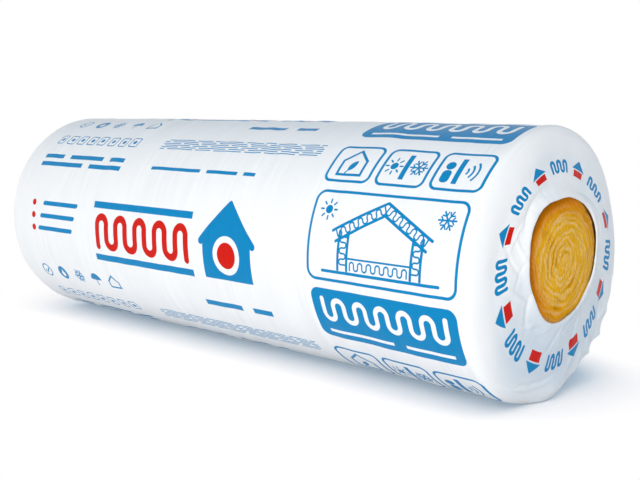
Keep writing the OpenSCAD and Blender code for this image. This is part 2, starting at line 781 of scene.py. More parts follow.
    def _boards(self, sheet: Spot) -> Field:
        """The two boards that the large sign lies between."""
        return sheet.at(*self.sign_place).doubled().at(0.0, 52.0).box(300.0, 13.0)

    def _icons(self, sheet: Spot) -> Field:
        """A row of small icons: a tick in a ring, a drop in a disc, a snow crystal, an umbrella, a gable."""
        tick, drop, frost, rain, gable = (
            sheet.at(self.icon_x + place * self.icon_pitch, self.low_row_y) for place in range(5))
        hook = tick.at(-2.0, -5.0).rotated(45.0)
        pear = joined(drop.at(0.0, -3.0).disc(6.5), drop.at(0.0, -1.0).house(10.0, 0.0, 11.0))
        dome = rain.at(0.0, -2.0).disc(17.0).high(-(rain.y + 1.0))
        return joined(
            tick.disc(15.0).stroke(3.0), hook.at(7.0, 0.0).bar(19.0, 3.4), hook.at(0.0, 3.5).box(3.4, 9.0),
            drop.disc(16.5).high(-pear), self._flake(frost), dome, rain.at(0.0, -7.0).box(3.0, 16.0),
            gable.at(0.0, -12.0).house(32.0, 14.0, 14.0).stroke(4.0),
        )

    def _list_row(self, spot: Spot) -> tuple[Field, Field]:
        """How far a place is above the middle of the nearest row of the list, and how far beyond the list."""
        half = self.list_pitch / 2
        return spot.y.wrap(-half, half), abs(spot.y) - self.list_rows * half

    def _list_dots(self, sheet: Spot) -> Field:
        """A short column of dots, one before each bar of the list."""
        spot = sheet.at(-506.0, self.list_y)
        up, beyond = self._list_row(spot)
        return Spot(spot.x, up).disc(6.5).high(beyond)

    def _list_bars(self, sheet: Spot) -> Field:
        """The bars of the list, each a little farther to the left than the one above it."""
        spot = sheet.at(-420.0, self.list_y)
        up, beyond = self._list_row(spot)
        return Spot(spot.x - spot.y * 0.35, up).bar(122.0, 9.0).high(beyond)

    def _small_marks(self, sheet: Spot) -> Field:
        """Rows of bars, and a row of small tiles with dots."""
        row = sheet.at(-403.0, self.high_row_y)
        half = self.small_tile_pitch / 2
        tile = Spot(row.x.wrap(-half, half), row.y)
        marks = joined(tile.box(24.0, 24.0, 4.0).stroke(2.4), tile.disc(5.0))
        caption = sheet.at(self.house_x, self.low_row_y)
        return joined(
            sheet.at(-388.0, 135.0).words(width=276.0, rows=2, pitch=19.0, thick=10.0, gap=7.0),
            sheet.at(40.0, self.high_row_y).words(width=420.0, rows=6, pitch=5.0, thick=2.2, gap=2.6),
            sheet.at(-20.0, 132.0).words(width=300.0, rows=1, pitch=14.0, thick=7.0, gap=5.0),
            caption.words(width=170.0, rows=1, pitch=20.0, thick=11.0, gap=8.0),
            marks.high(abs(row.x - half) - self.small_tiles * half),
        )

    def _ring(self, along: Field, round_: Field, ring_along: float,
              film_radius: float) -> tuple[Field, Field]:
        """The ring of marks on each end: the insulation sign and a small house in turn.

        Args:
            along: place along the film.
            round_: place round the film.
            ring_along: place of the ring along the film.
            film_radius: radius of the roll.

        Returns:
            Distances to the blue and to the red marks.
        """
        step = TURN / self.ring_marks
        angle = round_ * (1 / film_radius)
        place = angle.wrap(-step / 2, step / 2) * self.ring_radius
        is_house = (angle * (1 / step) + 0.5).math("FLOOR").wrap(0.0, 2.0)
        mark = Spot(place, (ring_along - abs(along)) * (1 / MM))
        sign = mark.batt_strip(*self.ring_sign, pairs=3) + is_house * self.out_of_sight
        not_house = (1.0 - is_house) * self.out_of_sight
        roof = mark.at(0.0, 1.0).house(38.0, 0.0, 15.0) + not_house
        wall = mark.at(0.0, -7.5).box(28.0, 13.0) + not_house
        return joined(sign, roof), wall


@dataclass(frozen=True)
class SheetNoise:
    """A noise on the film, by its features per metre along the roll and round it.

    The shift tells it from the other noises. Detail is its number of finer layers and rough their strength.
    """

    along: float
    round: float
    shift: float = 0.0
    detail: float = 2.0
    rough: float = 0.5

    def at(self, tree: Tree, along: Field, round_: Field) -> Field:
        """The noise at a place on the film, about 0.5 on the average."""
        place = tree.vector(along * self.along, round_ * self.round, self.shift)
        return tree.noise(place, 1.0, self.detail, self.rough)


@dataclass(frozen=True)
class FilmPlace:
    """A place on the film: along it from the middle of the roll, round it, and along it past the shoulder's
    start on the nearer end."""

    along: Field
    round: Field
    past: Field


@dataclass(frozen=True)
class FilmFinish:
    """White, slightly glossy film that is stretched round the roll, with its print.

    A reach says where on an end an effect starts and where it is full, past the shoulder's start. A range
    says between which values of a noise, or of a sum with one, an effect goes from nothing to full. Its one
    angle is in radians.
    """

    white: Colour = ink(251, 251, 251)
    streak: Colour = ink(239, 239, 239)
    # painted shade: the bluish grey that darkens the film's ends
    end_shade: Colour = ink(207, 220, 231)
    # painted shadow: a grey line along the edge of the film's lap, on the side only
    edge: Colour = ink(176, 186, 194)
    blue: Colour = ink(0, 132, 188)
    red: Colour = ink(208, 18, 0)
    specular: float = 0.11
    roughness: float = 0.28
    cloud_roughness: float = 0.16
    lap_shadow_width: float = 1.2 * MM
    # where, how strongly and in which pattern shade is painted on the film's ends
    end_shade_reach: Span = (0.008, 0.053)
    end_shade_range: Span = (0.35, 1.35)
    end_shade_patches: SheetNoise = SheetNoise(along=13.0, round=7.0, shift=5.0)
    end_shade_patch_share: float = 1.3
    end_shade_angle: float = 1.95
    end_shade_below: float = 0.34
    end_shade_beside: float = 0.15
    streak_height: float = 0.9 * MM
    streak_reach: Span = (0.0, 0.05)
    streak_slant: float = 0.02
    side_streaks: SheetNoise = SheetNoise(along=55.0, round=2.6, detail=3.0, rough=0.55)
    end_streaks: SheetNoise = SheetNoise(along=9.0, round=34.0, detail=3.0, rough=0.55)
    cloud_range: Span = (-0.15, 0.85)
    clouds: SheetNoise = SheetNoise(along=16.0, round=5.0)
    cloud_share: float = 0.7
    threads: SheetNoise = SheetNoise(along=150.0, round=5.0, shift=9.0, rough=0.6)
    thread_patches: SheetNoise = SheetNoise(along=6.0, round=8.0, shift=2.0, detail=1.0)
    thread_range: Span = (0.36, 0.61)
    thread_share: float = 1.7
    crease_height: float = 0.35 * MM
    crease_reach: Span = (0.03, 0.08)
    crease_width: float = 1 / 7
    crease_bend: float = 0.7
    crease_bends: SheetNoise = SheetNoise(along=20.0, round=16.0, shift=3.0, detail=1.0)
    creases: SheetNoise = SheetNoise(along=13.0, round=24.0, rough=0.45)
    crease_patches: SheetNoise = SheetNoise(along=8.0, round=9.0, shift=7.0, detail=1.0)
    crease_range: Span = (0.42, 0.62)

    def material(self, sheet: PrintSheet, film: "FilmWrap") -> bpy.types.Material:
        """Make the material.

        Args:
            sheet: the print.
            film: the wrap that it lies on.

        Returns:
            The film's material.
        """
        tree = Tree.material("printed_film")
        along, round_, _ = tree.parts(tree.add("ShaderNodeUVMap", uv_map="sheet").outputs[0])
        place = FilmPlace(along, round_, abs(along) - film.shoulder_start())
        radius = film.sizes.film_radius
        prints = tree.use(sheet.group(film.ring_along(), radius), along=along, round=round_)
        streaks, cloud = self._streaks(tree, place)
        white = tree.mix(cloud, self.white, self.streak)
        # paint the shade on the film's ends
        white = tree.mix(self._end_shade_share(tree, place, round_ * (1 / radius)), white, self.end_shade)
        # paint a shadow line along the edge of the film's lap, on the side only
        lap = (round_ - film.lap_start()).math("LESS_THAN", self.lap_shadow_width)
        on_side = place.past.math("LESS_THAN", 0.0)
        white = tree.mix(lap * on_side, white, self.edge)
        colour = tree.mix(tree.field(prints.outputs["Blue"]), white, self.blue)
        colour = tree.mix(tree.field(prints.outputs["Red"]), colour, self.red)
        rough = cloud.math("MULTIPLY_ADD", self.cloud_roughness, self.roughness)
        normal = tree.bump(streaks, self.streak_height)
        normal = tree.bump(self._creases(tree, place), self.crease_height, normal)
        return tree.surface(colour, rough, normal, Specular_IOR_Level=self.specular)

    def _end_shade_share(self, tree: Tree, place: FilmPlace, angle: Field) -> Field:
        """How much bluish shade is painted on the film's ends: most on the lower part of each end and in
        patches, less at its top and towards its front and back.

        Args:
            tree: the material.
            place: place on the film.
            angle: angle round the roll.

        Returns:
            The share, from 0 on the side to 1 in patches of the ends.
        """
        patch = self.end_shade_patches.at(tree, place.along, place.round) * self.end_shade_patch_share
        below = (angle + self.end_shade_angle).math("COSINE") * self.end_shade_below
        beside = (angle * 2.0).math("COSINE") * self.end_shade_beside
        return (below - beside + patch).ramp(*self.end_shade_range) * place.past.ramp(*self.end_shade_reach)

    def _streaks(self, tree: Tree, place: FilmPlace) -> tuple[Field, Field]:
        """Tension streaks of the stretched film.

        They run round the side of the roll, and towards the opening on the ends, where the film is gathered.

        Args:
            tree: the material.
            place: place on the film.

        Returns:
            The height of the relief and a soft cloudiness, both from 0 to 1.
        """
        slant = place.round.math("MULTIPLY_ADD", self.streak_slant, place.along)
        on_end = place.past.ramp(*self.streak_reach)
        side = self.side_streaks.at(tree, slant, place.round)
        ends = self.end_streaks.at(tree, place.along, place.round)
        cloud = self.clouds.at(tree, slant, place.round) * self.cloud_share
        patch = self.thread_patches.at(tree, place.along, place.round)
        strength = patch.ramp(*self.thread_range) * (1.0 - on_end)
        threads = (self.threads.at(tree, slant, place.round) - 0.5) * strength * self.thread_share
        return side + (ends - side) * on_end, (cloud + threads).ramp(*self.cloud_range)

    def _creases(self, tree: Tree, place: FilmPlace) -> Field:
        """Sharp creases of the gathered film on the ends.

        A crease lies where a noise crosses its middle value, and a coarser noise leaves some places smooth.

        Args:
            tree: the material.
            place: place on the film.

        Returns:
            The height of the relief, from 0 to 1.
        """
        bend = self.crease_bends.at(tree, place.along, place.round) * self.crease_bend
        along = place.along + bend * (1 / self.creases.along)
        round_ = place.round + bend * (1 / self.creases.round)
        ridge = abs(self.creases.at(tree, along, round_) - 0.5).ramp(0.0, self.crease_width)
        patch = self.crease_patches.at(tree, place.along, place.round)
        return ridge * patch.ramp(*self.crease_range) * place.past.ramp(*self.crease_reach)


@dataclass(frozen=True)
class Fold:
    """A soft ridge or groove on an end of the film, along an arc round the opening.

    Its angle and span say where along the arc it lies, its radius and slant where the arc runs, and its
    width and height how it looks across. Angles are in degrees and lengths in millimetres.
    """

    angle: float
    span: float
    radius: float
    width: float
    height: float
    slant: float = 0.0

    def at(self, angles: np.ndarray, radii: np.ndarray) -> np.ndarray:
        """Height of the fold: a bell across the arc times a bell along it.

        Args:
            angles: angle round the roll at each point.
            radii: distance from the axis at each point.

        Returns:
            The height at each point, in metres.
        """
        beside = turned(angles, math.radians(self.angle)) / math.radians(self.span)
        across = (radii / MM - self.radius - self.slant * beside) / self.width
        return self.height * MM * np.exp(-across ** 2 - beside ** 2)


@dataclass(frozen=True)
class FilmEnd:
    """Shape of one end of the film: the opening, the dip around it, how the end is out of round, its folds,
    and how far the wool bulges in the opening.

    Angles are in degrees, apart from the crumple's spread.
    """

    side: int
    seed: int
    opening_y: float
    opening_z: float
    wide: float
    lobes: float
    lobe_angle: float
    puff: float
    lip_rise: float
    dip: float
    dip_angle: float
    oval: float
    oval_angle: float
    crumple: float
    crumple_angle: float
    wool_bulge: float
    folds: tuple[Fold, ...]
    uneven_height: float = 0.8 * MM
    soft_height: float = 0.9 * MM
    pleat_height: float = 0.1 * MM
    pleat_radii: Span = (0.165, 0.1)
    crumple_spread: float = 0.36
    crumple_radius: float = 0.190
    crumple_reach: float = 0.030
    mean_facet: float = 0.8

    def opening_edge(self, angles: np.ndarray) -> np.ndarray:
        """How far the opening's edge departs from its circle: an oval that is wide from front to back, three
        soft lobes and a small unevenness."""
        lobes = self.lobes * np.cos(3 * (angles - math.radians(self.lobe_angle)))
        uneven = Ripples(self.seed, (4, 10), (0, 0), waves=8, whole=True).at(angles, np.zeros_like(angles))
        return self.wide * np.cos(2 * angles) + lobes + self.uneven_height * uneven

    def out_of_round(self, angles: np.ndarray) -> np.ndarray:
        """How far the side stands out from its circle near this end: an oval, long at its angle."""
        return self.oval * np.cos(2 * (angles - math.radians(self.oval_angle)))

    def relief(self, angles: np.ndarray, radii: np.ndarray, on_end: np.ndarray) -> np.ndarray:
        """Height of the end's relief, along the film's normal.

        It is the sum of a soft unevenness, gathered pleats that grow towards the opening, the folds, and
        crumpled facets near one angle.

        Args:
            angles: angle round the roll at each point.
            radii: distance from the axis at each point.
            on_end: 1 on this end and 0 on the side, with a smooth change at the shoulder.

        Returns:
            The height at each point.
        """
        soft = Ripples(self.seed + 1, (1, 6), (15, 60), whole=True).at(angles, radii)
        pleats = Ripples(self.seed + 2, (16, 40), (0, 30), whole=True).at(angles, radii)
        gather = ease(radii, *self.pleat_radii)
        facets = np.abs(Ripples(self.seed + 3, (5, 19), (30, 120), whole=True).at(angles, radii))
        beside = turned(angles, math.radians(self.crumple_angle)) / self.crumple_spread
        across = (radii - self.crumple_radius) / self.crumple_reach
        crumples = self.crumple * np.exp(-beside ** 2 - across ** 2) * (self.mean_facet - facets)
        folds = sum(fold.at(angles, radii) for fold in self.folds)
        return on_end * (self.soft_height * soft + self.pleat_height * gather * pleats + crumples + folds)


# Each fold's angle, span, radius, width, height and slant
RIGHT_FOLDS = (
    Fold(38, 13, 113, 4.5, -2.0, 5),
    Fold(22, 9, 124, 3.2, 1.3, -10),
    Fold(12, 8, 112, 3.0, 1.5, 10),
    Fold(4, 10, 127, 3.4, -1.5, 14),
    Fold(-6, 9, 114, 3.0, -1.3, -12),
    Fold(-14, 8, 131, 3.2, 1.5, 16),
    Fold(-24, 10, 118, 3.2, 1.6, 12),
    Fold(-36, 10, 113, 4.5, -2.4, -10),
    Fold(-46, 9, 126, 3.2, 1.6, 16),
    Fold(-66, 10, 113, 3.6, 1.4, 10),
    Fold(-84, 9, 120, 3.4, -1.8, 18),
    Fold(-104, 9, 107, 3.6, -2.6, 6),
    Fold(-98, 9, 116, 3.6, 1.8, -12),
    Fold(-114, 8, 124, 3.4, -1.8, 18),
    Fold(-68, 17, 184, 2.6, -3.8, 12.2),
    Fold(-66, 18, 190, 4.4, 2.2, 12.2),
    Fold(-142, 17, 196, 24, 9.0),
    Fold(-92, 11, 200, 22, 9.0),
    Fold(-140, 9, 172, 4.0, -2.4, 14),
    Fold(-154, 10, 186, 4.0, 2.0, -12),
    Fold(128, 12, 114, 4.0, -1.4, 6),
    Fold(156, 16, 118, 5.0, 1.4, 6),
)
LEFT_FOLDS = (
    Fold(172, 13, 113, 4.0, 2.5, 6),
    Fold(158, 10, 125, 3.4, -2.2, -12),
    Fold(141, 9, 116, 3.2, 2.1, 14),
    Fold(120, 11, 128, 3.6, 1.8, 12),
    Fold(64, 12, 115, 4.2, -2.5, 8),
    Fold(40, 9, 127, 3.2, 2.0, -14),
    Fold(16, 10, 118, 3.4, -2.2, 14),
    Fold(-20, 9, 114, 3.4, 2.2, -10),
    Fold(-42, 12, 124, 4.0, -2.7, 12),
    Fold(-58, 9, 114, 3.2, 2.1, 14),
    Fold(-95, 20, 188, 3.4, -2.0, 6),
    Fold(-150, 10, 120, 3.6, 2.4, 16),
)
RIGHT_END = FilmEnd(
    side=1, seed=11, opening_y=-0.001, opening_z=0.0138, wide=1.5 * MM, lobes=3.4 * MM, lobe_angle=38.0,
    puff=13 * MM, lip_rise=2 * MM, dip=1.6 * MM, dip_angle=88.0, oval=6.9 * MM, oval_angle=-39.0,
    crumple=6.0 * MM, crumple_angle=-126.0, wool_bulge=22 * MM, folds=RIGHT_FOLDS,
)
LEFT_END = FilmEnd(
    side=-1, seed=41, opening_y=-0.005, opening_z=0.006, wide=-1.0 * MM, lobes=2.6 * MM, lobe_angle=12.0,
    puff=12 * MM, lip_rise=2 * MM, dip=1.6 * MM, dip_angle=70.0, oval=2.0 * MM, oval_angle=20.0,
    crumple=3.2 * MM, crumple_angle=-60.0, wool_bulge=20 * MM, folds=LEFT_FOLDS,
)


@dataclass
class FilmWrap:
    """The film: a sleeve round the wool, gathered in over both ends to a lip round an opening."""

    sizes: RollSizes
    finish: FilmFinish = field(default_factory=FilmFinish)
    sheet: PrintSheet = field(default_factory=PrintSheet)
    ends: tuple[FilmEnd, FilmEnd] = (LEFT_END, RIGHT_END)
    columns: int = 300
    side_rows: int = 100
    shoulder_rows: int = 48
    ring_rows: int = 22
    lip_rows: int = 6
    thickness: float = 1.0 * MM
    opening_radius: float = 0.095
    crown_radius: float = 0.141
    cone_radius: float = 0.162
    shoulder_depth: float = 0.028
    lip_radius: float = 3.5 * MM
    lip_band: Span = (0.018, 0.004)
    cone_power: float = 1.2
    dip_level: float = 0.3
    dip_swing: float = 1.9
    trough_place: float = 0.022
    trough_width: float = 0.013
    shoulder_blend: float = 0.012
    pull_margin: float = 0.008
    oval_reach: float = 0.30
    oval_power: float = 2.3
    wave_seed: int = 5
    wave_height: float = 0.35 * MM
    lap_height: float = 0.9 * MM
    lap_fade: float = 0.16
    lap_angle: float = -168.4
    inner_step: int = 4
    inner_side_step: int = 10
    flat: Span = (1.43, 1.387)

    def shoulder_start(self) -> float:
        """Where the shoulder leaves the straight side, from the middle of the roll."""
        return self.sizes.film_end - self.shoulder_depth

    def lap_start(self) -> float:
        """Where the sheet starts, at the film's lap, as a length round the roll."""
        return math.radians(self.lap_angle) * self.sizes.film_radius

    def column_angles(self, count: int) -> np.ndarray:
        """Angles of that many lines round the roll, one turn from the film's lap."""
        return math.radians(self.lap_angle) + np.linspace(0, TURN, count, endpoint=False)

    def side_spread(self, angles: np.ndarray, places: np.ndarray) -> np.ndarray:
        """How far the roll stands out from its circle: each end's oval, fading out along the side."""
        start = self.shoulder_start()
        shares = [ease(places * end.side, start - self.oval_reach, start) for end in self.ends]
        return sum(share * end.out_of_round(angles) for share, end in zip(shares, self.ends))

    def half_meridian(self) -> tuple[np.ndarray, np.ndarray]:
        """The film's section from the middle of the side to the lip, before it is gathered unevenly.

        A straight side, a quarter of an ellipse over the shoulder, a level ring, and a quarter of a circle
        where the lip curls in.

        Returns:
            The radius and the place along the axis of each row.
        """
        radius, end, start = self.sizes.film_radius, self.sizes.film_end, self.shoulder_start()
        side = np.linspace(0, start, self.side_rows // 2, endpoint=False)
        bend = np.linspace(0, math.pi / 2, self.shoulder_rows, endpoint=False)
        curl = np.linspace(0, math.pi / 2, self.lip_rows)
        lip_edge = self.opening_radius + self.lip_radius
        ring = np.linspace(self.crown_radius, lip_edge, self.ring_rows, endpoint=False)
        radii = [np.full_like(side, radius), self.crown_radius + (radius - self.crown_radius) * np.cos(bend)]
        places = [side, start + self.shoulder_depth * np.sin(bend)]
        radii += [ring, lip_edge - self.lip_radius * np.sin(curl)]
        places += [np.full_like(ring, end), end - self.lip_radius * (1 - np.cos(curl))]
        return np.concatenate(radii), np.concatenate(places)

    def meridian(self) -> tuple[np.ndarray, np.ndarray, np.ndarray]:
        """The whole section, from the lip on the left to the lip on the right.

        Returns:
            The radius, the place along the axis, and the length along the film from the middle of the
            side, for each row.
        """
        radii, places = self.half_meridian()
        steps = np.hypot(np.diff(radii), np.diff(places))
        lengths = np.concatenate([[0], np.cumsum(steps)])
        both = [np.concatenate([sign * values[:0:-1], values]) for sign, values in
                ((1, radii), (-1, places), (-1, lengths))]
        return both[0], both[1], both[2]

    def ring_along(self) -> float:
        """Place of the printed ring of marks, along the film from the middle of the side."""
        radii, _, lengths = self.meridian()
        half = len(radii) // 2
        return float(np.interp(-self.sheet.ring_radius * MM, -radii[half:], lengths[half:]))

    def points(self) -> np.ndarray:
        """Points of the outer face, for each row of the section and each column round the roll.

        A point lies on the turned section, moved by the opening's offset and lobes near the lip, by the
        oval near an end, and along the section's normal by the relief. What would reach below the floor
        is pressed flat on it.

        Returns:
            An array of rows, columns and coordinates.
        """
        radii, places, _ = self.meridian()
        angles = self.column_angles(self.columns)[None, :]
        radii, places = radii[:, None], places[:, None]
        slope_r, slope_x = np.gradient(radii[:, 0]), np.gradient(places[:, 0])
        size = np.hypot(slope_r, slope_x)
        normal_r, normal_x = (slope_x / size)[:, None], (-slope_r / size)[:, None]
        height = self._side_relief(angles, places)
        spread = self.side_spread(angles, places) * (radii / self.sizes.film_radius) ** self.oval_power
        shift_y, shift_z, lift = (np.zeros_like(spread) for _ in range(3))
        start, blend = self.shoulder_start(), self.shoulder_blend
        for end in self.ends:
            mine = places * end.side
            on_end = ease(mine, start - blend, start + blend)
            pulled = on_end * ease(radii, self.cone_radius, self.opening_radius + self.pull_margin)
            shift_y += pulled * end.opening_y
            shift_z += pulled * end.opening_z
            spread += pulled * end.opening_edge(angles)
            height += end.relief(angles, radii, on_end)
            lift += end.side * on_end * self._around_opening(end, angles, radii)
        reach = radii + spread + normal_r * height
        x = places + lift + normal_x * height
        y = -reach * np.cos(angles) + shift_y
        z = self.sizes.film_radius + reach * np.sin(angles) + shift_z
        return np.stack([x, y, np.maximum(z, 0.0)], axis=-1)

    def _side_relief(self, angles: np.ndarray, places: np.ndarray) -> np.ndarray:
        """Height of the side's relief: long soft waves round the roll, and the step of the film's lap on
        the back, which fades out away from its edge."""
        waves = Ripples(self.wave_seed, (0, 5), (40, 150), waves=30, whole=True).at(angles, places)
        before = turned(angles, math.radians(self.lap_angle))
        lap = ease(before, -self.lap_fade, 0.0) * (before < -TINY)
        return self.wave_height * waves + self.lap_height * lap

    def _around_opening(self, end: FilmEnd, angles: np.ndarray, radii: np.ndarray) -> np.ndarray:
        """Height of the puffed end, of the lip and of the dip around it: the end rises as a cone towards the
        lip, the lip rises a little more, and a trough that is deepest at the dip's angle lies before it."""
        share = np.clip((self.cone_radius - radii) / (self.cone_radius - self.opening_radius), 0, 1)
        from_edge = radii - self.opening_radius
        rise = end.puff * share ** self.cone_power + end.lip_rise * ease(from_edge, *self.lip_band)
        towards = np.cos(angles - math.radians(end.dip_angle))
        deep = end.dip * np.maximum(self.dip_level + self.dip_swing * towards, 0)
        trough = np.exp(-((from_edge - self.trough_place) / self.trough_width) ** 2)
        return rise - deep * trough

    def build(self) -> bpy.types.Object:
        """Make the film: its outer face, and an inner face of fewer rows that closes it at both lips."""
        outer = self.points()
        rows = len(outer)
        along, around = np.gradient(outer, axis=0), np.roll(outer, -1, axis=1) - np.roll(outer, 1, axis=1)
        normals = np.cross(along, around)
        normals /= np.linalg.norm(normals, axis=-1, keepdims=True)
        end_rows = self.shoulder_rows + self.ring_rows + self.lip_rows
        kept = np.concatenate([
            np.arange(0, end_rows, self.inner_step),
            np.arange(end_rows, rows - end_rows, self.inner_side_step),
            np.arange(rows - 1, rows - end_rows - 1, -self.inner_step)[::-1],
        ])
        inner = (outer - self.thickness * normals)[kept][::-1]
        inner[..., 2] = np.maximum(inner[..., 2], self.thickness / 2)
        _, _, lengths = self.meridian()
        columns = self.lap_start() + np.linspace(0, TURN, self.columns + 1) * self.sizes.film_radius
        rows_along = np.concatenate([lengths, lengths[kept][::-1]])
        uv = np.stack(np.meshgrid(rows_along, columns, indexing="ij"), axis=-1)
        lattice = Lattice(np.concatenate([outer, inner]), Closing.RING)
        return lattice.to_object("film_cover", uv)

    def dress(self, piece: bpy.types.Object) -> None:
        """Give the film its finish and its body, and hide the solid that it stands in for."""
        piece.data.materials.append(self.finish.material(self.sheet, self))
        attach(piece, "root")
        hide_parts("film_wrap")


@dataclass(frozen=True)
class WoolFinish:
    """Yellow glass wool: cream fibres on gold, darker in the joints between the turns, with shade painted
    next to the film's lip, orange and then dark brown, most at the front and top.

    A noise is its features per metre, its number of finer layers and their strength. A range says between
    which values a colour goes from nothing to full.
    """

    joint: Colour = ink(198, 131, 16)
    gold: Colour = ink(238, 176, 34)
    cream: Colour = ink(242, 196, 116)
    # painted shade next to the film's lip: orange in half shade, dark brown deeper in
    rim_half_shade: Colour = ink(216, 124, 12)
    shaded: Colour = ink(138, 82, 10)
    roughness: float = 0.9
    fuzz_height: float = 1.6 * MM
    felt: Triple = (240.0, 5.0, 0.65)
    felt_share: float = 0.5
    cloud: Triple = (38.0, 3.0, 0.6)
    cloud_share: float = 0.45
    turn_share: float = 1.25
    turn_level: float = 0.38
    pale_range: Span = (0.72, 0.72 + 1 / 1.5)
    rim_half_shade_range: Span = (0.0, 1 / 1.3)
    shaded_range: Span = (0.6, 0.6 + 1 / 2.2)

    def material(self) -> bpy.types.Material:
        """Make the material, which reads the values turn_crest, turn_streak and rim_shade of its piece; the
        last paints shade next to the film's lip.
        """
        tree = Tree.material("glass_wool")
        place = tree.add("ShaderNodeTexCoord").outputs["Object"]
        felt, cloud = tree.noise(place, *self.felt), tree.noise(place, *self.cloud)
        fibres = felt * self.felt_share
        felted = fibres - self.turn_level
        light = tree.kept("turn_crest").math("MULTIPLY_ADD", self.turn_share, felted, clamp=True)
        pale = (tree.kept("turn_streak") + cloud * self.cloud_share + fibres).ramp(*self.pale_range)
        rim_shade = tree.kept("rim_shade")
        colour = tree.mix(pale, self.gold, self.cream)
        colour = tree.mix(light, self.joint, colour)
        # paint the shade next to the film's lip
        colour = tree.mix(rim_shade.ramp(*self.rim_half_shade_range), colour, self.rim_half_shade)
        colour = tree.mix(rim_shade.ramp(*self.shaded_range), colour, self.shaded)
        return tree.surface(colour, self.roughness, tree.bump(felt, self.fuzz_height), Specular_IOR_Level=0.0)


